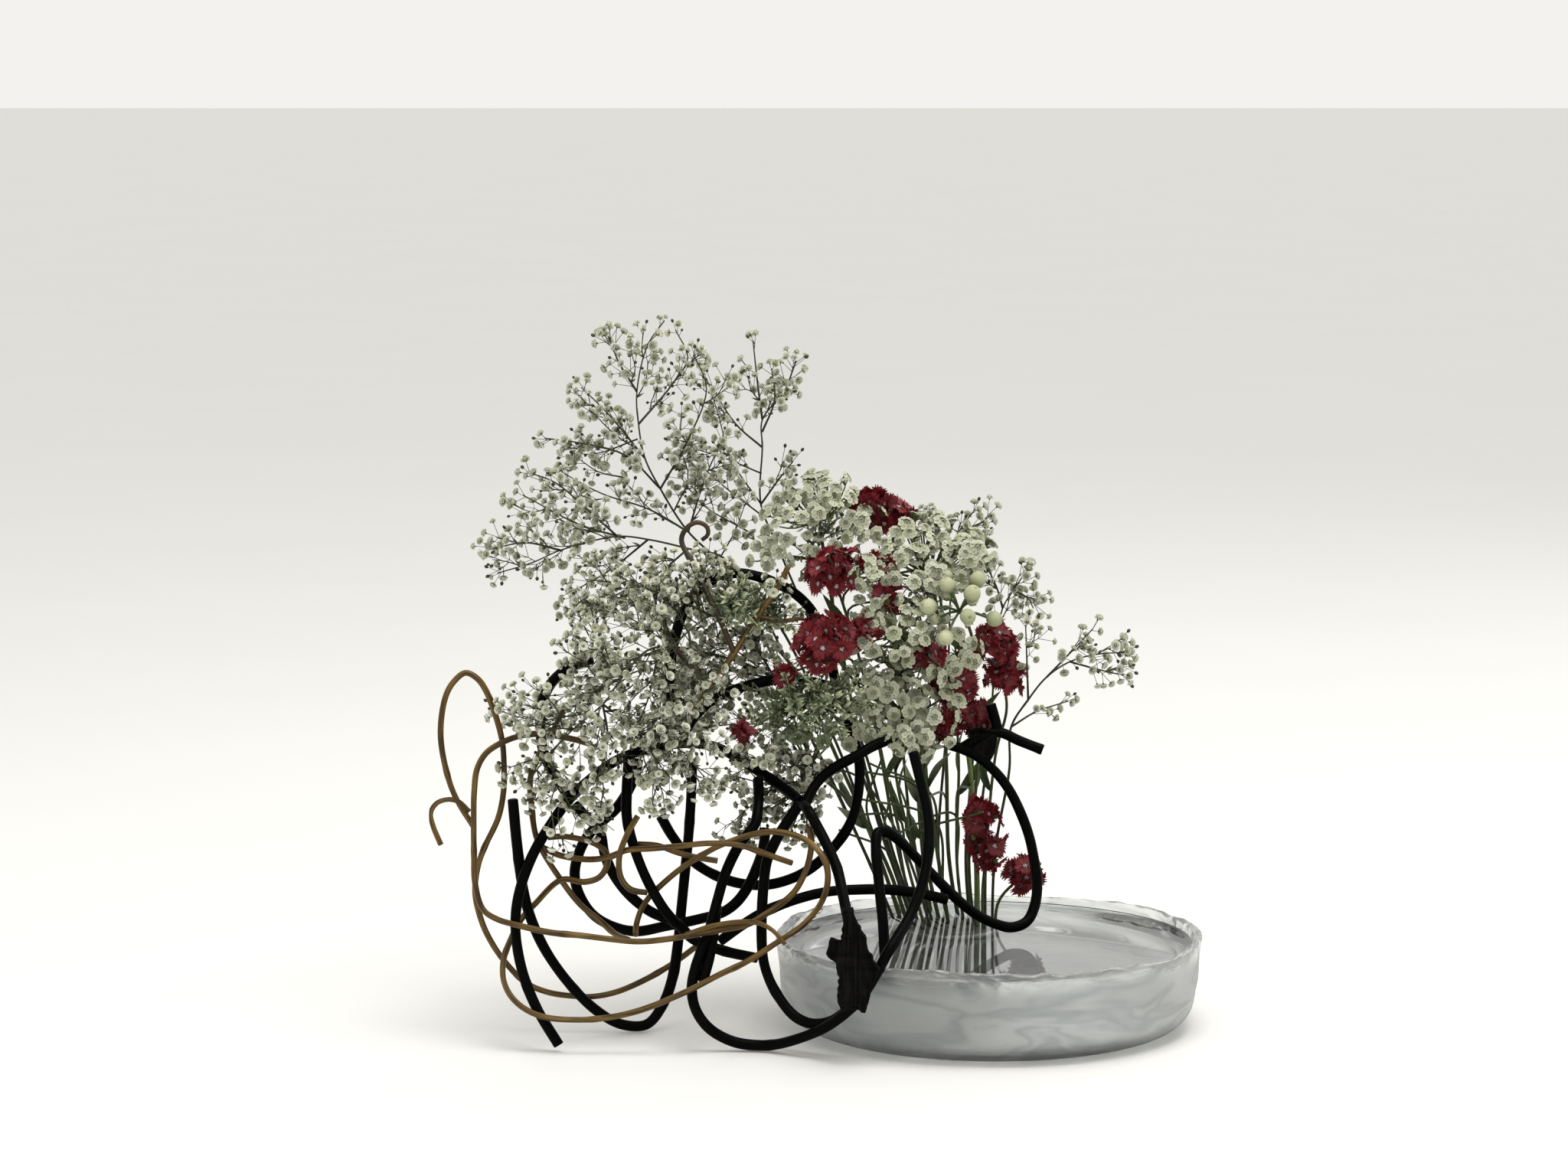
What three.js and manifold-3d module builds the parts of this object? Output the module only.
// Ikebana arrangement: looped vines, flower heads and mist sprays standing in a shallow glass bowl.
// Millimetres, +Z up. The origin is the centre of the bowl's flat underside.

import * as THREE from 'three';
import { mergeVertices } from 'three/addons/utils/BufferGeometryUtils.js';
import Module from 'manifold-3d';

const wasm = await Module();
wasm.setup();

// Driving dimensions
const RIM_RADIUS = 139;
const RIM_HEIGHT = 60;
const UNDERSIDE_RADIUS = 112;
const OUTER_CORNER = 24;
const INNER_CORNER = 10;
const WALL = 6;
const FLOOR = 8;
const RIM_WAVE = 1.1;
const SIDE_WAVE = 0.9;
const BOWL_SIDES = 40;
const WATER_LEVEL = 54;
const WATER_MARGIN = 2;
const HOLE_OVERRUN = 4;
const CLEARANCE = 0.3;

const HOLDER_CENTRE = [-22, 83];
const HOLDER_RADIUS = 33;
const HOLDER_HEIGHT = 14;
const HOLDER_SIDES = 24;
const PIN_HEIGHT = 6.2;
const PIN_RADIUS = 1;
const PIN_PITCH = 13;
const PIN_SPACING = 4;

const VINE_DIAMETER = 7.4;
const FORK_DIAMETER = 7;
const TENDRIL_DIAMETER = 4.3;
const VINE_SIDES = 6;
const VINE_STEP = 18;
const TENDRIL_SIDES = 4;
const TENDRIL_STEP = 14;
const STEM_DIAMETERS = { lace: 2.8, crimson: 2.2, buds: 2.4, mist: 2, stem_pale: 4, stem: 2.3 };
const STEM_SIDES = 4;
const STEM_STEP = 38;
const MIST_SIDES = 3;
const MIST_STEP = 24;
const KNOB_RADIUS = 2.6;
const BARK_THICKNESS = 5.4;

const BRANCH_DIAMETER = 1.3;
const TWIG_GAP = 22;
const TWIG_TURN = 2.4;
const TWIG_LEAN = 0.9;
const TIP_LEAN = 0.15;
const FLORET_RADIUS = 3.6;
const FLORET_STALK = 11;
const KNOB_SIDES = 6;
const RAY_RADIUS = 0.7;
const ROOT_DEPTH = 0.6;
const UMBELLET_RADIUS = 6.8;
const UMBELLET_DEPTH = 5;
const UMBELLET_CROWN = 2.2;
const UMBELLET_SIDES = 4;
const UMBEL_DROP = 0.3;
const PETAL_RADIUS = 8;
const PETALS = 5;
const PETAL_NOTCH = 0.66;
const PETAL_DISH = 1.4;
const HEAD_SPREAD = 1.45;
const BUDS = 8;
const BUD_RADIUS = 6;
const BUD_SIDES = 5;
const BUD_STALK = 12;
const BUD_SPREAD = 1.5;
const BUD_FACING = [0.2, -0.7, 0.7];
const LEAF_THICKNESS = 0.9;
const LEAF_LENGTH = 26;
const LEAF_WIDTH = 6.5;
const LEAF_WIDEST = 0.45;
const LEAVES_FROM = 0.42;
const LEAVES_TO = 0.87;

// The eye from which the routes are traced
const EYE = new THREE.Vector3(-134, -2960, 656);

const SHOULDER_RADIUS = UNDERSIDE_RADIUS + OUTER_CORNER;
const HOLDER_BOTTOM = FLOOR + CLEARANCE;
const PIN_TIP = HOLDER_BOTTOM + HOLDER_HEIGHT + PIN_HEIGHT;
const STEM_FOOT = PIN_TIP + CLEARANCE;

// Routes: [across, rise, depth]. Across and rise are read in the upright plane through the origin,
// as the eye sees them, and depth is the distance behind that plane.
const VINES = {
  vine_left_post: [
    [-311.1, 148.2, -56], [-308.5, 118.1, -53], [-305.5, 93, -51], [-301, 72.9, -48],
    [-291, 49.2, -44], [-274.4, 25.1, -39], [-256.8, 7.5, -35], [-240.7, -1.5, -33],
    [-224.1, -1.5, -31], [-213.6, 11.6, -29], [-207, 30.2, -27], [-203.5, 52.8, -24],
    [-201.5, 72.9, -19], [-199, 98, -12], [-196.5, 123.1, -6], [-194.5, 153.3, 0],
    [-194, 172.4, 4],
  ],
  vine_left_arch: [
    [-281.9, -15.6, -88], [-296, 8.5, -84], [-305, 31.7, -76], [-309.5, 55.3, -68],
    [-309.5, 73.9, -65], [-305.5, 93, -60.4], [-297, 114.1, -56], [-285.9, 132.2, -49],
    [-274.4, 148.2, -41], [-259.3, 162.3, -32], [-244.2, 173.4, -24], [-224.1, 181.4, -15],
    [-196.5, 185.4, -7], [-178.9, 182.9, -1], [-163.8, 175.4, 3], [-150.3, 166.8, 6],
  ],
  vine_cross_low: [
    [-270.9, 145.2, -30], [-262.8, 136.2, -33], [-254.3, 127.1, -35], [-251.3, 112.1, -37],
    [-245.2, 98, -38], [-234.2, 83.9, -39], [-221.6, 73.9, -40], [-204, 65.8, -41],
    [-194, 55.8, -43], [-173.9, 47.7, -47], [-151.3, 42.7, -52],
  ],
  vine_round_low: [
    [-242.7, 143.2, -24], [-256.8, 130.2, -26], [-265.3, 119.1, -28], [-270.9, 100.5, -29],
    [-268.3, 85.9, -30], [-256.8, 69.8, -31], [-233.7, 60.8, -31.8], [-210.6, 64.3, -33.2],
    [-187.4, 69.3, -31], [-173.9, 73.4, -28], [-163.3, 81.9, -22], [-153.8, 98, -16],
    [-148.2, 114.1, -10], [-145.7, 129.1, -5],
  ],
  vine_short_left: [
    [-236.7, 152.3, -49], [-236.7, 137.2, -50], [-233.7, 122.1, -51], [-225.1, 98, -52],
    [-213.6, 76.9, -51.5], [-204.5, 65.3, -48.9],
  ],
  vine_back_hoop: [
    [-214.6, 137.2, 6], [-206.5, 123.1, 8], [-191.5, 105.5, 10], [-168.8, 94, 12],
    [-146.2, 91.5, 14], [-126.1, 97, 16], [-112.1, 106, 18], [-97, 122.1, 20], [-88.9, 137.2, 22],
    [-84.9, 158.3, 24], [-85.4, 175.9, 26], [-92, 198.5, 28], [-100, 224.6, 30], [-107, 251.3, 30],
    [-117.1, 273.9, 28], [-133.7, 287.9, 26], [-163.8, 297, 24], [-181.4, 292, 22],
    [-195.5, 278.9, 20], [-204.5, 256.3, 18], [-208.5, 228.6, 16], [-206.5, 208.5, 13],
  ],
  vine_bark: [
    [-117.1, 139.2, -58], [-111.1, 128.1, -64], [-106, 118.1, -71], [-99.5, 103, -81.5],
    [-95.5, 85.4, -98], [-92, 67.8, -118], [-89.9, 55.3, -128],
  ],
  vine_bowl_side: [
    [-93, 7, -108], [-103.5, 0.5, -103.2], [-116.1, -1, -96], [-127.1, 4, -89],
    [-136.7, 15.6, -82], [-143.7, 28.6, -76], [-147.7, 42.7, -71], [-148.7, 65.3, -64],
    [-147.2, 93, -54], [-144.7, 109, -48], [-138.2, 123.1, -42], [-123.6, 145.7, -32],
  ],
  vine_front_hoop: [
    [-49.7, 179.4, -40], [-45.7, 163.3, -46], [-40.2, 138.2, -56], [-39.2, 118.1, -66],
    [-43.2, 93, -80], [-51.8, 70.4, -94], [-65.8, 46.6, -118.4], [-82.4, 17.6, -122],
    [-103.5, -1.5, -112], [-126.1, -11.6, -100], [-146.2, -15.6, -88.5], [-167.3, -13.1, -87],
    [-183.4, -4, -88], [-192, 8.5, -89], [-194.5, 21.6, -85], [-192, 36.7, -79],
    [-183.9, 58.8, -68], [-177.9, 80.4, -59], [-172.4, 99, -51], [-163.3, 118.1, -42],
    [-152.8, 132.2, -34],
  ],
  vine_right_hoop: [
    [-67.8, 41.7, -92], [-69.3, 67.8, -84], [-71.9, 93, -72], [-73.9, 119.1, -58],
    [-72.9, 126.1, -53], [-65.8, 126.1, -48], [-55.8, 118.1, -42], [-42.2, 104, -32],
    [-21.6, 82.9, -18], [-8, 71.9, -10], [5.5, 65.3, -4], [15.6, 63.3, 2], [25.1, 67.3, 8],
    [30.2, 77.9, 14], [31.7, 93, 19], [29.6, 108, 23], [26.1, 124.1, 27], [20.6, 139.2, 30],
    [13.1, 154.3, 32], [3.5, 166.8, 32], [-11.6, 178.9, 31], [-27.6, 184.9, 30],
  ],
  vine_level: [
    [-176.4, 53.8, -56], [-161.3, 64.8, -55.5], [-146.2, 73.9, -52.8], [-126.1, 81.9, -46],
    [-106, 86.9, -43], [-85.9, 88.4, -42], [-65.8, 88.4, -41], [-48.2, 86.4, -36],
    [-27.6, 81.9, -27.7],
  ],
  vine_slant: [
    [-121.1, 143.2, -26.7], [-113.1, 158.3, -17.4], [-103.5, 167.8, -13.4], [-86.9, 176.9, -7.4],
    [-75.9, 183.4, -1.4], [-59.8, 189.9, 2.6],
  ],
  vine_left_cap: [
    [-258.8, 240.7, -18], [-274.4, 234.7, -14], [-284.9, 225.6, -12], [-290.5, 215.1, -12],
    [-292.5, 203.5, -13], [-292.5, 191, -16], [-290.5, 178.4, -20], [-284.9, 166.3, -26],
    [-275.9, 151.8, -33.5],
  ],
  vine_inner: [
    [-103, 222.6, 23.4], [-126.1, 227.6, 14], [-146.2, 226.1, 10], [-176.4, 216.1, 5],
    [-192.5, 202.5, 1], [-200, 189.9, -0.8],
  ],
};

// Short lengths that belong to a vine: a cut stub, and a fork with a web of wood
const STUB = [
  [-177.9, 77.9, -56], [-179.9, 60.3, -65], [-182.9, 43.7, -73], [-187.4, 27.1, -82],
];
const FORK = [
  [-17.6, 182.4, 31], [-5.5, 189.4, 32], [6, 192.5, 33], [19.6, 186.9, 32], [34.7, 180.9, 30],
];
const FORK_ARM = [
  [0.5, 211.1, 36], [3.5, 201, 35], [6, 191.5, 33],
];
const FORK_DEPTH = 32;
const FORK_WEB = [
  [-15.6, 179.4], [-13.1, 193.5], [-5.5, 196], [5.5, 193.5], [4, 180.9], [-0.5, 170.4],
];

// The torn bark at the end of one vine, as an outline of [across, rise]
const BARK_DEPTH = -131.1;
const BARK_OUTLINE = [
  [-95.5, 76.9], [-95.5, 66.8], [-96.5, 54.8], [-103, 56.8], [-106.5, 45.7], [-100, 39.2],
  [-98, 29.6], [-99.5, 17.6], [-97, 7.5], [-86.9, 8.5], [-80.9, 6], [-77.4, 17.6], [-70.9, 35.7],
  [-77.9, 47.2], [-80.4, 58.3], [-85.4, 65.8], [-88.9, 76.9],
];

const TENDRILS = {
  tendril_left_loop: [
    [-336.2, 129.1, -50], [-347.7, 148.2, -46], [-353.3, 163.3, -44], [-357.8, 191, -42],
    [-354.3, 216.1, -40], [-348.7, 226.1, -39], [-341.2, 231.7, -38], [-333.2, 227.6, -38],
    [-326.6, 217.1, -38], [-321.1, 201, -39], [-317.6, 185.9, -40], [-316.6, 168.3, -42],
    [-317.1, 153.3, -44], [-320.6, 136.2, -46], [-330.2, 115.6, -48], [-334.2, 104, -49],
    [-336.2, 87.9, -50], [-333.7, 72.9, -48], [-328.6, 58.8, -45], [-318.1, 41.7, -40],
    [-303, 26.1, -34], [-289.4, 20.1, -30], [-274.4, 17.6, -27], [-259.3, 17.1, -25],
    [-244.2, 20.1, -23], [-226.6, 27.6, -20], [-207.5, 38.7, -17], [-190.5, 51.3, -15],
  ],
  tendril_long: [
    [-259.3, 184.4, -24], [-270.9, 187.9, -28], [-294.5, 191.5, -36], [-307, 189.9, -42],
    [-319.6, 184.9, -47], [-328.6, 178.4, -50], [-334.2, 168.3, -52], [-336.2, 153.3, -54],
    [-336.7, 133.2, -55], [-336.7, 113.1, -56], [-336.2, 93, -57], [-331.2, 75.4, -62],
    [-322.1, 68.8, -68], [-307, 64.3, -74.6], [-286.9, 59.8, -74], [-266.8, 57.8, -72],
    [-246.7, 55.3, -70], [-229.1, 53.8, -69], [-211.6, 55.3, -70], [-176.4, 61.3, -76],
    [-158.8, 64.8, -77], [-146.2, 71.9, -76], [-128.6, 85.4, -72], [-122.1, 95.5, -69],
    [-117.6, 108, -65], [-116.1, 120.6, -61], [-117.6, 129.6, -57],
  ],
  tendril_inner_left: [
    [-291, 184.4, -29], [-295.5, 173.4, -32], [-299.5, 162.3, -36], [-299, 145.7, -40],
    [-296.5, 125.6, -44], [-292.5, 115.1, -46], [-281.4, 97, -42], [-267.8, 78.9, -39],
    [-254.3, 67.3, -40], [-245.2, 59.3, -50], [-235.7, 54.8, -65.2],
  ],
  tendril_low_loop: [
    [-288.4, 123.1, -43], [-276.9, 123.6, -42], [-259.3, 119.6, -42], [-251.3, 114.1, -44],
    [-249.2, 107, -45], [-254.3, 97, -47], [-264.3, 93.5, -48], [-279.4, 95, -48],
    [-297, 78.9, -42.2], [-306, 68.8, -41.6], [-314.6, 51.8, -50], [-318.1, 40.2, -62],
    [-318.1, 28.6, -72], [-314.1, 18.6, -80], [-306, 10.1, -86.5], [-292, 3.5, -92.6],
    [-266.8, 1.5, -94], [-246.7, 3.5, -94], [-226.6, 8.5, -94], [-196.5, 21.1, -95],
    [-176.4, 31.7, -93], [-158.8, 40.2, -90], [-136.2, 54.8, -87], [-121.1, 65.3, -84],
    [-110.1, 78.9, -81], [-105.5, 93, -86], [-106.5, 105.5, -85], [-112.6, 115.6, -79],
    [-121.1, 122.1, -72.5], [-133.7, 126.1, -66], [-146.2, 126.6, -62], [-171.4, 119.6, -58],
    [-186.4, 112.1, -55], [-200.5, 103, -52], [-212.6, 93, -46], [-222.6, 82.9, -45.2],
    [-227.6, 74.9, -47.1], [-230.7, 65.3, -50], [-231.2, 58.3, -60],
  ],
  tendril_level: [
    [-292, 116.6, -38], [-281.9, 111.6, -38], [-269.3, 109, -38.5], [-258.8, 108.5, -45],
    [-248.2, 110.1, -52.9], [-236.7, 114.6, -58], [-221.6, 115.6, -60], [-204, 117.1, -61],
    [-183.9, 119.1, -63], [-163.8, 118.1, -64], [-151.3, 114.1, -62], [-138.7, 109.5, -60],
    [-128.6, 106, -58],
  ],
  tendril_small_loop: [
    [-229.6, 137.2, -58], [-236.7, 124.6, -62], [-241.7, 110.1, -62], [-240.7, 96.5, -61],
    [-234.2, 88.4, -60], [-223.6, 86.4, -57.7],
  ],
  tendril_short: [
    [-229.6, 118.6, -44.6], [-216.6, 117.6, -46], [-204, 113.1, -46], [-192.5, 110.1, -46],
    [-177.4, 107.5, -46],
  ],
  tendril_upper: [
    [-200, 190, -9], [-192.5, 207.5, -14], [-181.4, 223.6, -10], [-166.3, 244.7, -6],
    [-151.3, 268.8, -4], [-137.2, 288.9, -4], [-131.2, 301.5, -5],
  ],
};

// Side shoots of the tendrils
const SHOOTS = {
  tendril_left_loop: [
    [
      [-358.3, 118.1, -60], [-363.3, 130.7, -56], [-364.8, 139.2, -54], [-360.8, 145.7, -52],
      [-353.3, 148.2, -49], [-346.2, 146.7, -47], [-339.2, 140.2, -48],
    ],
  ],
  tendril_long: [
    [
      [-285.9, 190.5, -33], [-281.9, 199.5, -32], [-277.9, 207.5, -31],
    ],
    [
      [-199, 57.8, -72], [-181.4, 63.8, -76], [-163.8, 66.8, -79], [-151.3, 66.3, -83],
      [-142.2, 61.8, -89], [-136.7, 56.3, -93], [-133.2, 51.8, -94],
    ],
  ],
  tendril_upper: [
    [
      [-151.3, 268.8, -4], [-136.2, 265.8, -3], [-121.1, 267.8, -2],
    ],
    [
      [-181.4, 223.6, -10], [-201.5, 243.7, -8], [-211.6, 263.8, -4], [-210.6, 278.9, -2],
      [-203.5, 284.4, -1], [-196.5, 282.4, -1],
    ],
    [
      [-166.3, 244.7, -6], [-178.9, 273.9, -12], [-194, 304, -5], [-200.5, 319.1, 2],
      [-196.5, 327.1, 2], [-189.9, 330.2, 2], [-183.9, 327.1, 2], [-183.4, 322.1, 2],
      [-187.4, 318.6, 2],
    ],
  ],
};

// Stems: the foot is a place on the pin holder, and the last point carries the head
const STEMS = {
  lace_top: {
    foot: [-41, 92],
    route: [
      [-63.3, 108, 92], [-80.9, 168.3, 88], [-96, 243.7, 80], [-107, 302, 68], [-111, 331, 58],
    ],
  },
  lace_right: {
    foot: [-12, 98],
    route: [
      [-25.6, 108, 96], [-27.6, 168.3, 92], [-31, 236, 84], [-35, 276, 68],
      [-39, 295, 52],
    ],
  },
  lace_middle: {
    foot: [-24, 86],
    route: [
      [-40.7, 108, 80], [-46.7, 168.3, 66], [-53.8, 218.6, 50], [-58.8, 245.7, 34],
      [-61.3, 256.8, 16],
    ],
  },
  lace_front: {
    foot: [-20, 72],
    route: [
      [-32.7, 108, 66], [-38.7, 148.2, 58], [-45.7, 184, 46], [-51.5, 202, 30],
    ],
  },
  lace_low: {
    foot: [-44, 74],
    route: [
      [-67.8, 108, 66], [-89.9, 145.2, 56], [-108.5, 162.3, 50], [-117.1, 172.4, 46],
    ],
  },
  lace_left: {
    foot: [-48, 84],
    route: [
      [-70.9, 108, 82], [-96, 168.3, 80], [-131.2, 238.7, 76], [-160.3, 265.8, 66],
      [-165.3, 270.9, 62],
    ],
  },
  crimson_top: {
    foot: [-30, 98],
    route: [
      [-47.7, 108, 100], [-56.8, 188.4, 98], [-61.8, 268.8, 92], [-64.3, 319.1, 80],
      [-65.3, 331.2, 72],
    ],
  },
  crimson_high: {
    foot: [-37, 80],
    route: [
      [-57.8, 108, 74], [-73.4, 188.4, 62], [-86.9, 248.7, 50], [-100, 282.9, 32], [-103, 291, 26],
    ],
  },
  crimson_left: {
    foot: [-34, 70],
    route: [
      [-53.8, 108, 62], [-66.8, 163.3, 52], [-77.9, 208.5, 40], [-96, 236.7, 10], [-101, 242.7, 2],
    ],
  },
  crimson_right: {
    foot: [2, 92],
    route: [
      [-2.5, 108, 90], [4.5, 178.4, 84], [10.6, 208.5, 68], [8.5, 228.6, 54], [4.5, 250.8, 48],
    ],
  },
  crimson_mid: {
    foot: [-10, 84],
    route: [
      [-20.6, 108, 82], [-19.6, 168.3, 74], [-21.6, 208.5, 56], [-24.1, 223.6, 36],
    ],
  },
  crimson_small: {
    foot: [-4, 76],
    route: [
      [-12.6, 108, 72], [-8.5, 163.3, 66], [-8.5, 193.5, 54], [-9, 199.5, 46],
    ],
  },
  crimson_low: {
    foot: [0, 68],
    route: [
      [-3.5, 87.9, 62], [-2, 113.1, 54], [-4.5, 136.2, 50],
    ],
  },
  crimson_water: {
    foot: [8, 76],
    route: [
      [5.5, 78.9, 72], [15.6, 92, 64], [23.6, 97, 58],
    ],
  },
  buds: {
    foot: [-6, 104],
    route: [
      [-14.6, 108, 104], [-10.6, 178.4, 100], [-10.6, 228.6, 84], [-9.5, 243.7, 56],
      [-14.5, 262, 26], [-20, 272, 10],
    ],
  },
  mist_top: {
    foot: [-46, 98],
    route: [
      [-70.9, 108, 100], [-101, 188.4, 104], [-141.2, 268.8, 98], [-168.8, 299, 86],
      [-196.5, 324.1, 80], [-214.1, 351.8, 72], [-224.1, 371.9, 66], [-227.6, 394.5, 60],
      [-229.1, 414.6, 55], [-221.6, 444.7, 50], [-210.6, 460.8, 48],
    ],
  },
  mist_tall: {
    foot: [-38, 104],
    route: [
      [-60.8, 108, 108], [-85.9, 193.5, 112], [-121.1, 273.9, 106], [-140.2, 319.1, 92],
      [-148.7, 341.7, 88], [-148.2, 379.4, 84], [-147.7, 397, 82], [-134.2, 414.6, 78],
      [-126.1, 434.7, 75],
    ],
  },
  mist_arm: {
    foot: [-51, 92],
    route: [
      [-78.9, 108, 92], [-116.1, 188.4, 92], [-153.8, 268.8, 86], [-172.4, 306.5, 76],
      [-196.5, 313.1, 66], [-221.6, 319.1, 56], [-241.7, 320.6, 50], [-279.4, 311.6, 38],
      [-297, 304, 32], [-319.6, 297, 26],
    ],
  },
  mist_middle: {
    foot: [-50, 78],
    route: [
      [-80.9, 113.1, 76], [-116.1, 188.4, 74], [-140.2, 227.6, 68], [-153.8, 250.8, 40],
      [-166.3, 259.8, 12], [-181.4, 268.8, -7], [-196.5, 258.8, -22], [-216.6, 238.7, -34],
      [-241.7, 228.6, -44], [-265.8, 228.6, -50],
    ],
  },
  mist_fall: {
    foot: [-40, 66],
    route: [
      [-65.8, 113.1, 58], [-94, 185.9, 66], [-141.2, 228.6, 58], [-181.4, 243.7, 54],
      [-218.6, 247.7, 34], [-239.2, 228.6, 4], [-251.8, 211.1, -30], [-271.9, 193.5, -48],
      [-289.4, 175.9, -52], [-302, 158.3, -50],
    ],
  },
  mist_low: {
    foot: [-30, 62],
    route: [
      [-53.8, 113.1, 52], [-79.9, 158.3, 50], [-95, 167.3, 42], [-113.1, 163.3, 30],
      [-141.2, 158.3, 16], [-163.8, 163.3, 20],
    ],
  },
  mist_right: {
    foot: [6, 84],
    route: [
      [4.5, 113.1, 80], [12.6, 168.3, 74], [13.6, 195.5, 64], [24.6, 213.6, 58], [37.2, 228.6, 54],
      [52.3, 238.7, 50], [69.8, 243.7, 47], [87.9, 244.7, 45],
    ],
  },
  mist_back: {
    foot: [-20, 106],
    route: [
      [-32.7, 108, 108], [-27.6, 198.5, 110], [-25.6, 278.9, 100], [-23.6, 313.1, 92],
      [-19.6, 325.1, 88], [-9.5, 339.2, 84],
    ],
  },
  mist_side: {
    foot: [0, 100],
    route: [
      [-7.5, 108, 104], [-0.5, 188.4, 102], [4.5, 248.7, 92], [8.5, 273.9, 84], [14.6, 286.4, 80],
      [22.6, 298, 76],
    ],
  },
  stem_pale: {
    foot: [-4, 86],
    route: [
      [-7.5, 103, 82], [-9.5, 128.1, 80], [-11.6, 163.3, 76], [-14.6, 185.9, 70],
    ],
  },
  stem_leafy: {
    foot: [-28, 78],
    route: [
      [-47.7, 108, 72], [-59.8, 158.3, 66], [-62.8, 185.9, 62],
    ],
  },
  stem_back: {
    foot: [-30, 108],
    route: [
      [-42.7, 108, 112], [-47.7, 168.3, 116], [-50.8, 203.5, 116],
    ],
  },
};

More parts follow.
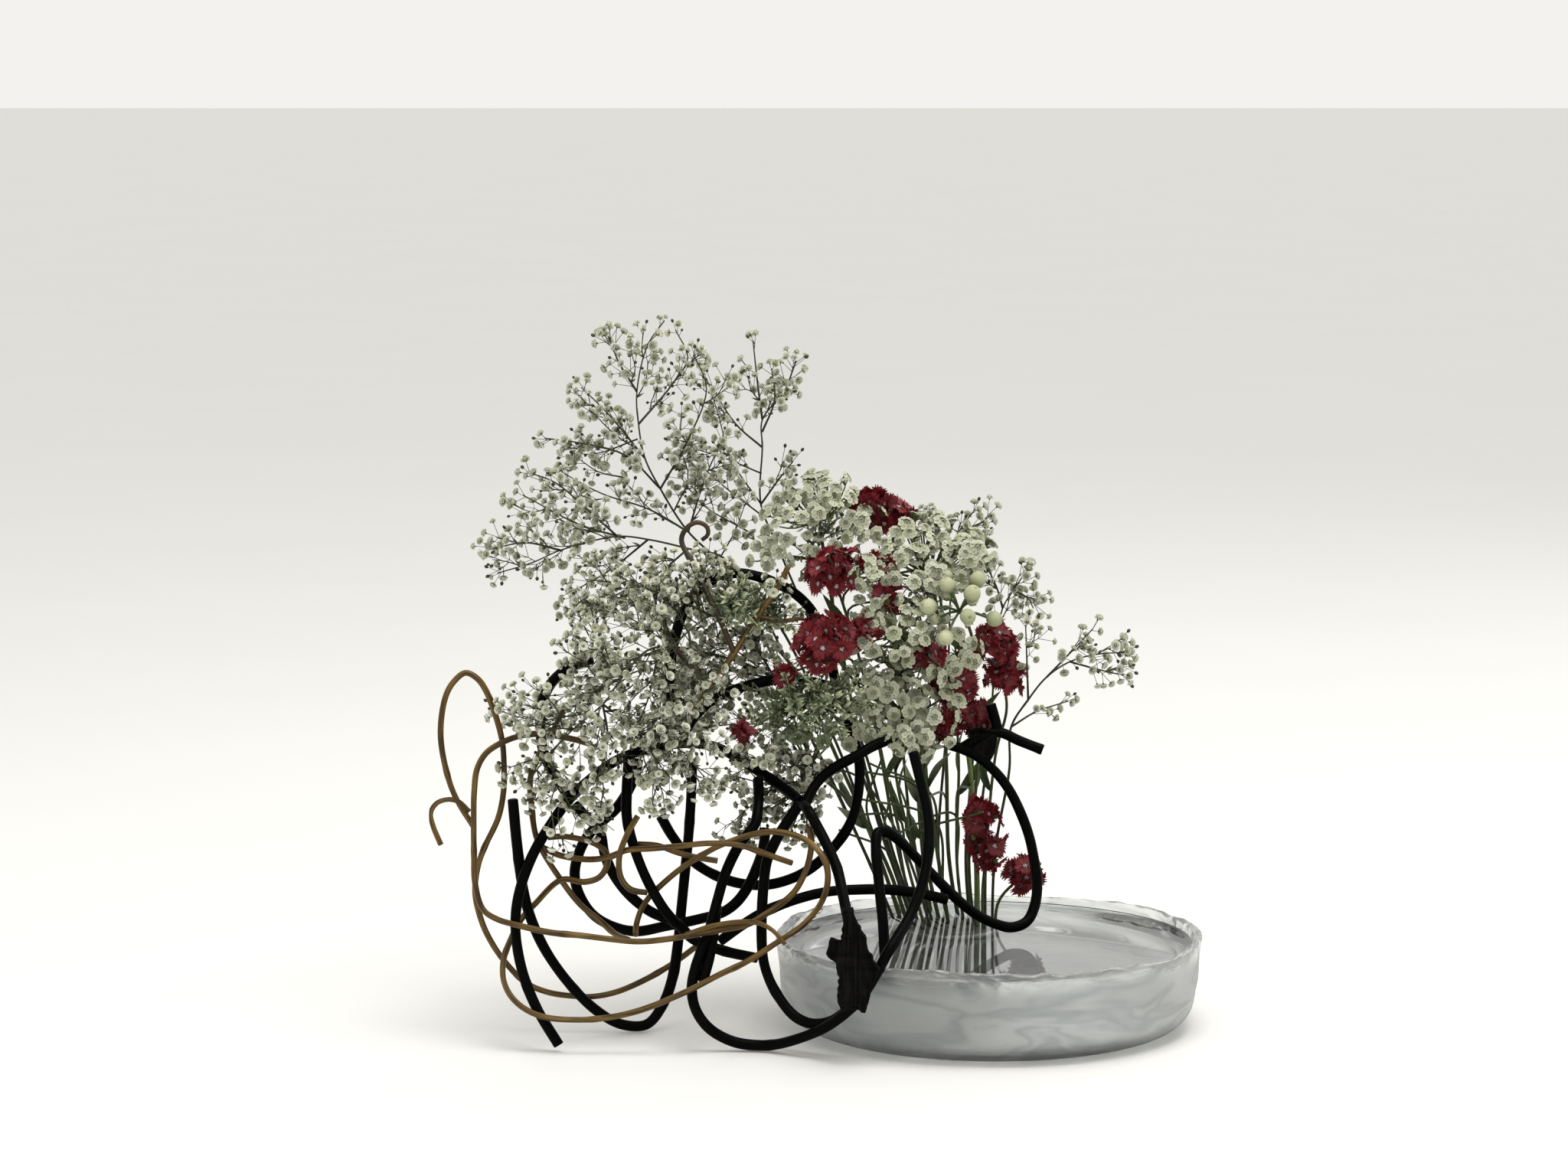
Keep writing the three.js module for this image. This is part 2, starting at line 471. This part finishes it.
// The side branches of each mist spray
const BRANCHES = {
  mist_top: [
    [
      [-214.1, 351.8, 72], [-236.7, 374.4, 60], [-266.8, 381.9, 50], [-288.9, 385.4, 45],
    ],
    [
      [-224.1, 371.9, 66], [-246.7, 399.5, 70], [-264.8, 417.6, 75],
    ],
    [
      [-229.1, 414.6, 55], [-240.7, 434.7, 45], [-246.7, 449.7, 40],
    ],
    [
      [-227.6, 394.5, 60], [-206.5, 419.6, 80], [-195.5, 437.2, 86], [-203.5, 454.8, 88],
    ],
    [
      [-196.5, 324.1, 80], [-221.6, 339.2, 100], [-251.8, 349.2, 110], [-277.9, 363.3, 112],
    ],
    [
      [-214.1, 351.8, 72], [-196.5, 384.4, 50], [-183.9, 417.1, 40], [-192.5, 438.7, 35],
    ],
    [
      [-196.5, 324.1, 80], [-185.4, 359.3, 60], [-173.4, 386.4, 50],
    ],
  ],
  mist_tall: [
    [
      [-147.7, 397, 82], [-151.3, 419.6, 86], [-154.3, 447.7, 88],
    ],
    [
      [-148.2, 379.4, 84], [-165.3, 394.5, 92], [-182.4, 419.6, 98],
    ],
    [
      [-148.7, 341.7, 88], [-136.2, 360.3, 80], [-128.1, 370.4, 76],
    ],
    [
      [-147.7, 389.4, 82], [-140.2, 409.5, 70], [-142.2, 429.6, 64],
    ],
  ],
  mist_arm: [
    [
      [-241.7, 320.6, 50], [-261.8, 339.2, 40], [-281.9, 355.8, 32], [-300, 363.3, 28],
    ],
    [
      [-279.4, 311.6, 38], [-302, 317.1, 30], [-326.1, 312.1, 24],
    ],
    [
      [-221.6, 319.1, 56], [-246.7, 299, 62], [-270.9, 284.9, 66],
    ],
    [
      [-236.7, 319.6, 52], [-266.8, 329.1, 66], [-303, 348.2, 76],
    ],
    [
      [-196.5, 313.1, 66], [-216.6, 296.5, 80], [-246.7, 281.4, 88],
    ],
  ],
  mist_middle: [
    [
      [-181.4, 268.8, -7], [-206.5, 281.4, -18], [-231.7, 288.9, -28], [-262.8, 293, -34],
    ],
    [
      [-216.6, 238.7, -34], [-221.6, 216.1, -42], [-228.6, 198.5, -46],
    ],
    [
      [-196.5, 258.8, -22], [-191.5, 233.7, -34], [-176.4, 208.5, -44],
    ],
    [
      [-140.2, 227.6, 68], [-176.4, 234.7, 74], [-206.5, 248.7, 78], [-236.7, 268.8, 80],
      [-260.8, 273.9, 78],
    ],
    [
      [-176.4, 234.7, 74], [-196.5, 218.6, 66], [-206.5, 193.5, 60],
    ],
    [
      [-153.8, 250.8, 40], [-141.2, 268.8, 20], [-134.2, 283.9, 6],
    ],
    [
      [-241.7, 228.6, -44], [-256.8, 248.7, -52], [-266.8, 268.8, -54],
    ],
  ],
  mist_fall: [
    [
      [-239.2, 228.6, 4], [-261.8, 216.1, 10], [-281.9, 203.5, 12], [-301, 209.5, 14],
    ],
    [
      [-251.8, 211.1, -30], [-248.7, 188.4, -46], [-254.8, 163.3, -54], [-260.8, 142.2, -58],
    ],
    [
      [-271.9, 193.5, -48], [-286.9, 197.5, -54], [-303, 196.5, -58],
    ],
    [
      [-289.4, 175.9, -52], [-277.9, 153.3, -60], [-269.8, 135.2, -62],
    ],
    [
      [-251.8, 211.1, -30], [-230.7, 193.5, -42], [-215.6, 168.3, -52], [-220.6, 143.2, -56],
    ],
    [
      [-218.6, 247.7, 34], [-206.5, 218.6, 40], [-213.6, 188.4, 42], [-223.6, 166.3, 38],
    ],
    [
      [-230.7, 193.5, -42], [-201.5, 180.9, -48], [-186.4, 163.3, -50],
    ],
  ],
  mist_low: [
    [
      [-113.1, 163.3, 30], [-123.1, 143.2, 12], [-129.1, 128.1, 8],
    ],
    [
      [-141.2, 158.3, 16], [-150.3, 143.2, 22], [-158.3, 131.2, 26],
    ],
    [
      [-113.1, 163.3, 30], [-126.1, 175.9, 40], [-141.2, 180.9, 46],
    ],
  ],
  mist_right: [
    [
      [24.6, 213.6, 58], [23.6, 238.7, 50], [22.6, 262.8, 46],
    ],
    [
      [37.2, 228.6, 54], [55.8, 248.7, 44], [66.8, 260.8, 40],
    ],
    [
      [52.3, 238.7, 50], [69.8, 233.7, 58], [86.9, 229.6, 62],
    ],
    [
      [13.6, 195.5, 64], [29.6, 206, 72], [50.8, 212.6, 78],
    ],
  ],
  mist_back: [
    [
      [-23.6, 313.1, 92], [-32.7, 324.1, 92], [-39.7, 336.2, 90],
    ],
    [
      [-19.6, 325.1, 88], [-7.5, 329.1, 94], [-0.5, 335.2, 98],
    ],
  ],
  mist_side: [
    [
      [8.5, 273.9, 84], [3.5, 287.9, 88], [-1.5, 300, 90],
    ],
    [
      [14.6, 286.4, 80], [23.6, 280.9, 86], [27.6, 273.9, 90],
    ],
  ],
};

// Heads of lace flower: umbellets on rays that spread from the end of the stem
const LACE = {
  lace_top: { radius: 42, height: 26, facing: [-0.35, -0.35, 0.87], umbellets: 16 },
  lace_right: { radius: 47, height: 30, facing: [0.15, -0.6, 0.79], umbellets: 22 },
  lace_middle: { radius: 32, height: 22, facing: [-0.1, -0.85, 0.5], umbellets: 13 },
  lace_front: { radius: 43, height: 28, facing: [0.1, -0.88, 0.46], umbellets: 20 },
  lace_low: { radius: 31, height: 26, facing: [-0.25, -0.1, 0.96], umbellets: 12 },
  lace_left: { radius: 27, height: 18, facing: [-0.3, 0.1, 0.95], umbellets: 10 },
};

// Crimson heads: florets crowded round the end of the stem, and lower down as well where it says so
const CRIMSON = {
  crimson_top: { radius: 15, facing: [0, -0.5, 0.87], florets: 5 },
  crimson_high: { radius: 17, facing: [-0.2, -0.6, 0.78], florets: 6 },
  crimson_left: { radius: 20, facing: [-0.3, -0.75, 0.6], florets: 7 },
  crimson_right: { radius: 14, facing: [0.4, -0.7, 0.6], florets: 4, lower: true },
  crimson_mid: { radius: 15, facing: [0.1, -0.9, 0.4], florets: 5 },
  crimson_small: { radius: 10, facing: [0, -0.9, 0.4], florets: 3 },
  crimson_low: { radius: 12, facing: [0, -0.8, 0.6], florets: 3, lower: true },
  crimson_water: { radius: 13, facing: [0.3, -0.5, 0.8], florets: 5 },
};

const LEAVES = {
  lace_middle: 3,
  lace_front: 3,
  lace_low: 2,
  crimson_high: 2,
  crimson_mid: 3,
  crimson_right: 2,
  buds: 2,
  stem_leafy: 5,
  stem_back: 3,
  stem_pale: 2,
};

const COLOURS = {
  glass: { color: 0xc9d2d3, roughness: 0.25, metalness: 0, transparent: true, opacity: 0.5 },
  water: { color: 0xdfe6e6, roughness: 0.1, metalness: 0, transparent: true, opacity: 0.35 },
  steel: { color: 0x8d8f90, roughness: 0.4, metalness: 0.9 },
  black: { color: 0x11130f, roughness: 0.55, metalness: 0 },
  brown: { color: 0x5d4a28, roughness: 0.5, metalness: 0 },
  cream: { color: 0xdfe3cc, roughness: 0.8, metalness: 0 },
  crimson: { color: 0xa3153a, roughness: 0.75, metalness: 0 },
  mist: { color: 0xe4e8dd, roughness: 0.8, metalness: 0 },
  bud: { color: 0xdcdcb4, roughness: 0.7, metalness: 0 },
  green: { color: 0x4d6331, roughness: 0.6, metalness: 0 },
};

const group = new THREE.Group();
const placed = [];

// A repeatable run of values between 0 and 1
function draws(seed) {
  let count = 0;
  return () => {
    count += 1;
    const value = Math.sin(count * 12.9898 + seed * 78.233) * 43758.5453;
    return value - Math.floor(value);
  };
}

// The point at the given depth that lines up, from the eye, with a place in the upright plane
function seen([across, rise, depth]) {
  const onPlane = new THREE.Vector3(across, 0, rise);
  const reach = (depth - EYE.y) / -EYE.y;
  return new THREE.Vector3().lerpVectors(EYE, onPlane, reach);
}

function polygon(sides, radius) {
  const corners = [];
  for (let k = 0; k < sides; k += 1) {
    const angle = (2 * Math.PI * k) / sides;
    corners.push(new THREE.Vector2(radius * Math.cos(angle), radius * Math.sin(angle)));
  }
  return new THREE.Shape(corners);
}

// How far the corners of a polygon stand out when its area is that of the circle it stands for
function fullness(sides) {
  const angle = (2 * Math.PI) / sides;
  return Math.sqrt(angle / Math.sin(angle));
}

function tube(points, diameter, sides, step) {
  const extrudePath = new THREE.CatmullRomCurve3(points, false, 'centripetal');
  const steps = Math.max(2, Math.round(extrudePath.getLength() / step));
  const section = polygon(sides, (diameter / 2) * fullness(sides));
  return new THREE.ExtrudeGeometry(section, { steps, extrudePath, bevelEnabled: false });
}

// A turned shape standing on its root and pointing along a direction
function turned(profile, sides, root, direction, spin = 0) {
  const outline = profile.map(([radius, height]) => new THREE.Vector2(radius, height));
  const geometry = new THREE.LatheGeometry(outline, sides);
  geometry.rotateY(spin);
  const up = new THREE.Vector3(0, 1, 0);
  const turn = new THREE.Quaternion().setFromUnitVectors(up, direction.clone().normalize());
  geometry.applyQuaternion(turn);
  geometry.translate(root.x, root.y, root.z);
  return geometry;
}

function solid(geometry) {
  const bare = new THREE.BufferGeometry();
  bare.setAttribute('position', geometry.getAttribute('position'));
  if (geometry.index) bare.setIndex(geometry.index);
  const merged = mergeVertices(bare, 1e-4);
  const vertProperties = new Float32Array(merged.getAttribute('position').array);
  const triVerts = withoutSlivers(merged.index.array);
  return new wasm.Manifold(new wasm.Mesh({ numProp: 3, vertProperties, triVerts }));
}

// Merging leaves triangles with two corners alike at the poles of a turned shape
function withoutSlivers(index) {
  const kept = [];
  for (let k = 0; k < index.length; k += 3) {
    const [a, b, c] = [index[k], index[k + 1], index[k + 2]];
    if (a !== b && b !== c && a !== c) kept.push(a, b, c);
  }
  return new Uint32Array(kept);
}

// True where a shape keeps its clearance from every node placed so far
function isClear(shape) {
  const box = shape.boundingBox();
  for (const other of placed) {
    const apart = [0, 1, 2].some(
      (k) => box.min[k] > other.box.max[k] + CLEARANCE || box.max[k] < other.box.min[k] - CLEARANCE,
    );
    if (!apart && shape.minGap(other.shape, 1) < CLEARANCE) return false;
  }
  return true;
}

// The largest connected body of a shape
function oneBody(shape) {
  const bodies = shape.decompose();
  return bodies.reduce((best, body) => (body.volume() > best.volume() ? body : best));
}

function place(name, shape, colour) {
  const body = oneBody(shape);
  const { vertProperties, triVerts, numProp } = body.getMesh();
  const geometry = new THREE.BufferGeometry();
  const position = new THREE.BufferAttribute(new Float32Array(vertProperties), numProp);
  geometry.setAttribute('position', position);
  geometry.setIndex(Array.from(triVerts));
  geometry.computeVertexNormals();
  const mesh = new THREE.Mesh(geometry, new THREE.MeshStandardMaterial(COLOURS[colour]));
  mesh.name = name;
  group.add(mesh);
  placed.push({ shape: body, box: body.boundingBox() });
}

function joined(shapes) {
  return wasm.Manifold.union(shapes);
}

// The bowl: a turned wall whose side and rim wander like hand-worked glass
function arc(centreX, centreY, radius, from, to, steps) {
  const points = [];
  for (let k = 0; k <= steps; k += 1) {
    const angle = from + ((to - from) * k) / steps;
    points.push([centreX + radius * Math.cos(angle), centreY + radius * Math.sin(angle)]);
  }
  return points;
}

function rimWander(angle) {
  return Math.sin(3 * angle + 0.6) + 0.6 * Math.sin(7 * angle + 2) + 0.3 * Math.sin(12 * angle);
}

function sideWander(angle) {
  return Math.sin(2 * angle + 1.2) + 0.5 * Math.sin(5 * angle);
}

function bowl() {
  const inside = SHOULDER_RADIUS - WALL;
  const profile = [
    [0, 0],
    ...arc(UNDERSIDE_RADIUS, OUTER_CORNER, OUTER_CORNER, -Math.PI / 2, 0, 3),
    ...arc(RIM_RADIUS - WALL / 2, RIM_HEIGHT - WALL / 2, WALL / 2, 0, Math.PI, 2),
    ...arc(inside - INNER_CORNER, FLOOR + INNER_CORNER, INNER_CORNER, 0, -Math.PI / 2, 2),
    [0, FLOOR],
  ];
  const outline = profile.map(([radius, height]) => new THREE.Vector2(radius, height));
  const geometry = new THREE.LatheGeometry(outline, BOWL_SIDES);
  geometry.rotateX(Math.PI / 2);
  const position = geometry.getAttribute('position');
  for (let k = 0; k < position.count; k += 1) {
    const [x, y, z] = [position.getX(k), position.getY(k), position.getZ(k)];
    const angle = Math.atan2(y, x);
    const lift = Math.max(0, z - OUTER_CORNER) / (RIM_HEIGHT - OUTER_CORNER);
    const spread = 1 + (lift * SIDE_WAVE * sideWander(angle)) / RIM_RADIUS;
    position.setXYZ(k, x * spread, y * spread, z + lift * lift * RIM_WAVE * rimWander(angle));
  }
  return solid(geometry);
}

// The pin holder: a heavy disc with a pin under each stem and more pins between them
function pinPlaces() {
  const feet = Object.values(STEMS).map((stem) => stem.foot);
  const places = [...feet];
  const reach = Math.floor(HOLDER_RADIUS / PIN_PITCH);
  for (let i = -reach; i <= reach; i += 1) {
    for (let j = -reach; j <= reach; j += 1) {
      const spot = [HOLDER_CENTRE[0] + i * PIN_PITCH, HOLDER_CENTRE[1] + j * PIN_PITCH];
      const inside = Math.hypot(i, j) * PIN_PITCH < HOLDER_RADIUS - 2 * PIN_RADIUS;
      const free = feet.every(([x, y]) => Math.hypot(x - spot[0], y - spot[1]) > PIN_SPACING);
      if (inside && free) places.push(spot);
    }
  }
  return places;
}

function pinHolder() {
  const up = new THREE.Vector3(0, 0, 1);
  const foot = new THREE.Vector3(HOLDER_CENTRE[0], HOLDER_CENTRE[1], HOLDER_BOTTOM);
  const disc = [[0, 0], [HOLDER_RADIUS, 0], [HOLDER_RADIUS, HOLDER_HEIGHT], [0, HOLDER_HEIGHT]];
  const pin = [[0, -1], [PIN_RADIUS, -0.5], [0, PIN_HEIGHT]];
  const pieces = [solid(turned(disc, HOLDER_SIDES, foot, up))];
  for (const [x, y] of pinPlaces()) {
    const root = new THREE.Vector3(x, y, HOLDER_BOTTOM + HOLDER_HEIGHT);
    pieces.push(solid(turned(pin, 3, root, up)));
  }
  return joined(pieces);
}

// The centre line of a stem, from its foot on the pin holder
function stemPoints({ foot, route }) {
  return [new THREE.Vector3(foot[0], foot[1], STEM_FOOT), ...route.map(seen)];
}

function stemDiameter(name) {
  const kind = Object.keys(STEM_DIAMETERS).find((start) => name.startsWith(start));
  return STEM_DIAMETERS[kind];
}

function stem(name) {
  return solid(tube(stemPoints(STEMS[name]), stemDiameter(name), STEM_SIDES, STEM_STEP));
}

// The water: a disc that fills the bowl, with a plain hole for each stem and for the pin holder
function water() {
  const edge = SHOULDER_RADIUS - WALL - WATER_MARGIN;
  const lowest = FLOOR + CLEARANCE;
  const profile = [
    [0, lowest],
    ...arc(edge - INNER_CORNER, lowest + INNER_CORNER, INNER_CORNER, -Math.PI / 2, 0, 2),
    [edge, WATER_LEVEL],
    [0, WATER_LEVEL],
  ];
  const up = new THREE.Vector3(0, 0, 1);
  const body = solid(turned(profile, BOWL_SIDES, new THREE.Vector3(), up));
  const wellRadius = HOLDER_RADIUS + CLEARANCE;
  const top = STEM_FOOT + CLEARANCE;
  const well = [[0, 0], [wellRadius, 0], [wellRadius, top], [0, top]];
  const centre = new THREE.Vector3(HOLDER_CENTRE[0], HOLDER_CENTRE[1], 0);
  const cuts = [solid(turned(well, HOLDER_SIDES, centre, up))];
  for (const name of Object.keys(STEMS)) cuts.push(stemHole(name));
  return body.subtract(joined(cuts));
}

function stemHole(name) {
  const points = stemPoints(STEMS[name]);
  const curve = new THREE.CatmullRomCurve3(points, false, 'centripetal');
  let at = 0;
  while (curve.getPointAt(at).z < WATER_LEVEL + HOLE_OVERRUN) at += 0.01;
  const run = curve.getPointAt(at).sub(points[0]);
  const radius = (stemDiameter(name) / 2) * fullness(STEM_SIDES) + 3 * CLEARANCE;
  const hole = [[0, -CLEARANCE], [radius, -CLEARANCE], [radius, run.length()], [0, run.length()]];
  return solid(turned(hole, STEM_SIDES, points[0], run));
}

// A bent length of vine
function vine(route, diameter) {
  return solid(tube(route.map(seen), diameter, VINE_SIDES, VINE_STEP));
}

function tendril(route) {
  return solid(tube(route.map(seen), TENDRIL_DIAMETER, TENDRIL_SIDES, TENDRIL_STEP));
}

// A flat piece of torn wood with the given outline, standing in an upright plane
function torn(outline, depth, thickness) {
  const corners = outline.map(([across, rise]) => seen([across, rise, depth]));
  const shape = new THREE.Shape(corners.map(({ x, z }) => new THREE.Vector2(x, z)));
  const geometry = new THREE.ExtrudeGeometry(shape, { depth: thickness, bevelEnabled: false });
  geometry.rotateX(Math.PI / 2);
  geometry.translate(0, depth + thickness / 2, 0);
  return solid(geometry);
}

// Most vines are one length; one ends in torn bark, one has a stub and one forks
function addVines() {
  for (const [name, route] of Object.entries(VINES)) {
    let shape = vine(route, VINE_DIAMETER);
    if (name === 'vine_bark') {
      shape = joined([shape, torn(BARK_OUTLINE, BARK_DEPTH, BARK_THICKNESS)]);
    }
    if (name === 'vine_right_hoop') {
      const web = torn(FORK_WEB, FORK_DEPTH, BARK_THICKNESS);
      shape = joined([shape, vine(FORK, FORK_DIAMETER), vine(FORK_ARM, FORK_DIAMETER), web]);
    }
    if (name === 'vine_front_hoop') shape = joined([shape, vine(STUB, VINE_DIAMETER)]);
    place(name, shape, 'black');
  }
  for (const [name, route] of Object.entries(TENDRILS)) {
    const shoots = (SHOOTS[name] ?? []).map(tendril);
    place(name, joined([tendril(route), ...shoots]), 'brown');
  }
}

function blend(first, firstShare, second, secondShare) {
  return first.clone().multiplyScalar(firstShare).addScaledVector(second, secondShare);
}

// Places round a facing direction, spread evenly by the golden angle, out to a widest slant
function around(facing, count, widest) {
  const axis = new THREE.Vector3(...facing).normalize();
  const side = new THREE.Vector3(0, 0, 1).cross(axis).normalize();
  const other = new THREE.Vector3().crossVectors(axis, side);
  const golden = Math.PI * (3 - Math.sqrt(5));
  return Array.from({ length: count }, (_, k) => {
    const share = Math.sqrt((k + 0.35) / count);
    const slant = share * widest;
    const spin = k * golden;
    const out = blend(side, Math.cos(spin), other, Math.sin(spin));
    return { share, out, axis, direction: blend(axis, Math.cos(slant), out, Math.sin(slant)) };
  });
}

// The small swelling that rays or florets spring from
function knob(hub) {
  const profile = [[0, -KNOB_RADIUS], [KNOB_RADIUS, 0], [0, KNOB_RADIUS]];
  return solid(turned(profile, KNOB_SIDES, hub, new THREE.Vector3(0, 0, 1)));
}

function umbel(name, hub) {
  const { radius, height, facing, umbellets } = LACE[name];
  const pieces = [knob(hub)];
  for (const { share, out, axis } of around(facing, umbellets, 1)) {
    const rise = height * (1 - UMBEL_DROP * share * share);
    const ray = blend(axis, rise, out, share * (radius - UMBELLET_RADIUS));
    const length = ray.length();
    const profile = [
      [0, -ROOT_DEPTH],
      [RAY_RADIUS, length - UMBELLET_DEPTH],
      [UMBELLET_RADIUS, length],
      [0, length + UMBELLET_CROWN],
    ];
    const spin = 9 * share;
    pieces.push(solid(turned(profile, UMBELLET_SIDES, hub, ray, spin)));
  }
  return pieces;
}

// A floret with five notched petals on a funnel
function floret(root, direction, length, spin) {
  const profile = [[0, -ROOT_DEPTH], [PETAL_RADIUS, length], [0, length - PETAL_DISH]];
  const up = new THREE.Vector3(0, 1, 0);
  const geometry = turned(profile, 2 * PETALS, new THREE.Vector3(), up, spin);
  const position = geometry.getAttribute('position');
  for (let k = 0; k < position.count; k += 1) {
    const [x, y, z] = [position.getX(k), position.getY(k), position.getZ(k)];
    const corner = Math.round((Math.atan2(x, z) - spin) / (Math.PI / PETALS));
    const reach = corner % 2 === 0 ? 1 : PETAL_NOTCH;
    position.setXYZ(k, x * reach, y, z * reach);
  }
  const turn = new THREE.Quaternion().setFromUnitVectors(up, direction.clone().normalize());
  geometry.applyQuaternion(turn);
  geometry.translate(root.x, root.y, root.z);
  return solid(geometry);
}

function crimsonHead(name, hub, seed) {
  const { radius, facing, florets } = CRIMSON[name];
  const draw = draws(seed);
  return around(facing, florets, HEAD_SPREAD).map(({ direction }) => {
    const length = radius * (0.9 + 0.25 * draw());
    return floret(hub, direction, length, 2 * Math.PI * draw());
  });
}

function budCluster(hub) {
  return around(BUD_FACING, BUDS, BUD_SPREAD).map(({ direction, share }) => {
    const length = BUD_STALK * (1 + share);
    const profile = [
      [0, -ROOT_DEPTH],
      [RAY_RADIUS, length],
      [BUD_RADIUS, length + BUD_RADIUS],
      [0, length + 2 * BUD_RADIUS],
    ];
    return solid(turned(profile, BUD_SIDES, hub, direction));
  });
}

// A pointed leaf, thin and slightly keeled
function leaf(root, direction, length) {
  const side = new THREE.Vector3(0, 0, 1).cross(direction).normalize();
  const face = new THREE.Vector3().crossVectors(direction, side).normalize();
  const middle = root.clone().addScaledVector(direction, LEAF_WIDEST * length);
  const corners = [
    root,
    root.clone().addScaledVector(direction, length),
    middle.clone().addScaledVector(side, LEAF_WIDTH / 2),
    middle.clone().addScaledVector(side, -LEAF_WIDTH / 2),
    middle.clone().addScaledVector(face, LEAF_THICKNESS),
    middle.clone().addScaledVector(face, -LEAF_THICKNESS / 2),
  ];
  return wasm.Manifold.hull(corners.map((corner) => corner.toArray()));
}

function leaves(name, seed) {
  const count = LEAVES[name] ?? 0;
  const curve = new THREE.CatmullRomCurve3(stemPoints(STEMS[name]), false, 'centripetal');
  const draw = draws(seed);
  const found = [];
  for (let k = 0; k < count; k += 1) {
    const at = LEAVES_FROM + ((LEAVES_TO - LEAVES_FROM) * (k + draw())) / count;
    const root = curve.getPointAt(at);
    const along = curve.getTangentAt(at);
    const spin = draw() * 2 * Math.PI;
    const out = new THREE.Vector3(Math.cos(spin), Math.sin(spin), 0);
    const direction = blend(along, 0.85, out, 0.5).normalize();
    found.push(leaf(root, direction, LEAF_LENGTH * (1 + 0.45 * draw())));
  }
  return found;
}

// A mist spray: branches with side twigs that end in small florets
function mistFloret(root, direction) {
  const length = direction.length();
  const profile = [
    [0, -ROOT_DEPTH],
    [0.55, length - 3.2],
    [FLORET_RADIUS, length - 0.6],
    [0, length + 1.4],
  ];
  return solid(turned(profile, MIST_SIDES, root, direction));
}

function mistBranch(points, seed) {
  const draw = draws(seed);
  const curve = new THREE.CatmullRomCurve3(points, false, 'centripetal');
  const length = curve.getLength();
  const count = Math.max(3, Math.round(length / TWIG_GAP));
  const pieces = [];
  for (let k = 1; k <= count; k += 1) {
    const at = k / count;
    const root = curve.getPointAt(at);
    const along = curve.getTangentAt(at);
    const spin = TWIG_TURN * k + draw();
    const side = new THREE.Vector3(0, 0, 1).cross(along).normalize();
    const other = new THREE.Vector3().crossVectors(along, side);
    const out = blend(side, Math.cos(spin), other, Math.sin(spin));
    const direction = blend(along, 1, out, k === count ? TIP_LEAN : TWIG_LEAN).normalize();
    pieces.push(mistFloret(root, direction.multiplyScalar(FLORET_STALK * (0.8 + 0.6 * draw()))));
  }
  return pieces;
}

function mistSpray(name, seed) {
  const top = STEMS[name].route.slice(-5).map(seen);
  const pieces = mistBranch(top, seed);
  BRANCHES[name].forEach((route, k) => {
    const points = route.map(seen);
    const branch = solid(tube(points, BRANCH_DIAMETER, MIST_SIDES, MIST_STEP));
    if (isClear(branch)) pieces.push(branch, ...mistBranch(points, seed + 1.7 * (k + 1)));
  });
  return pieces;
}

// What a stem carries, and its colour
function head(name, seed) {
  const points = stemPoints(STEMS[name]);
  const hub = points.at(-1);
  if (name in LACE) return [umbel(name, hub), 'cream'];
  if (name in BRANCHES) return [mistSpray(name, seed), 'mist'];
  if (name === 'buds') return [budCluster(hub), 'bud'];
  if (!(name in CRIMSON)) return [[], 'green'];
  const upper = crimsonHead(name, hub, seed);
  if (!CRIMSON[name].lower) return [upper, 'crimson'];
  return [[...upper, ...crimsonHead(name, points.at(-2), seed + 0.5)], 'crimson'];
}

// Every stem is known before the first head grows, so that heads keep clear of all of them
function addFlowers() {
  const names = Object.keys(STEMS);
  const stems = names.map(stem);
  const waiting = stems.map((shape) => ({ shape, box: shape.boundingBox() }));
  placed.push(...waiting);
  names.forEach((name, k) => {
    placed.splice(placed.indexOf(waiting[k]), 1);
    const [pieces, colour] = head(name, k);
    const clear = [...pieces, ...leaves(name, k)].filter(isClear);
    place(name, joined([stems[k], ...clear]), colour);
  });
}

place('glass_bowl', bowl(), 'glass');
place('pin_holder', pinHolder(), 'steel');
place('water', water(), 'water');
addVines();
addFlowers();

export default group;
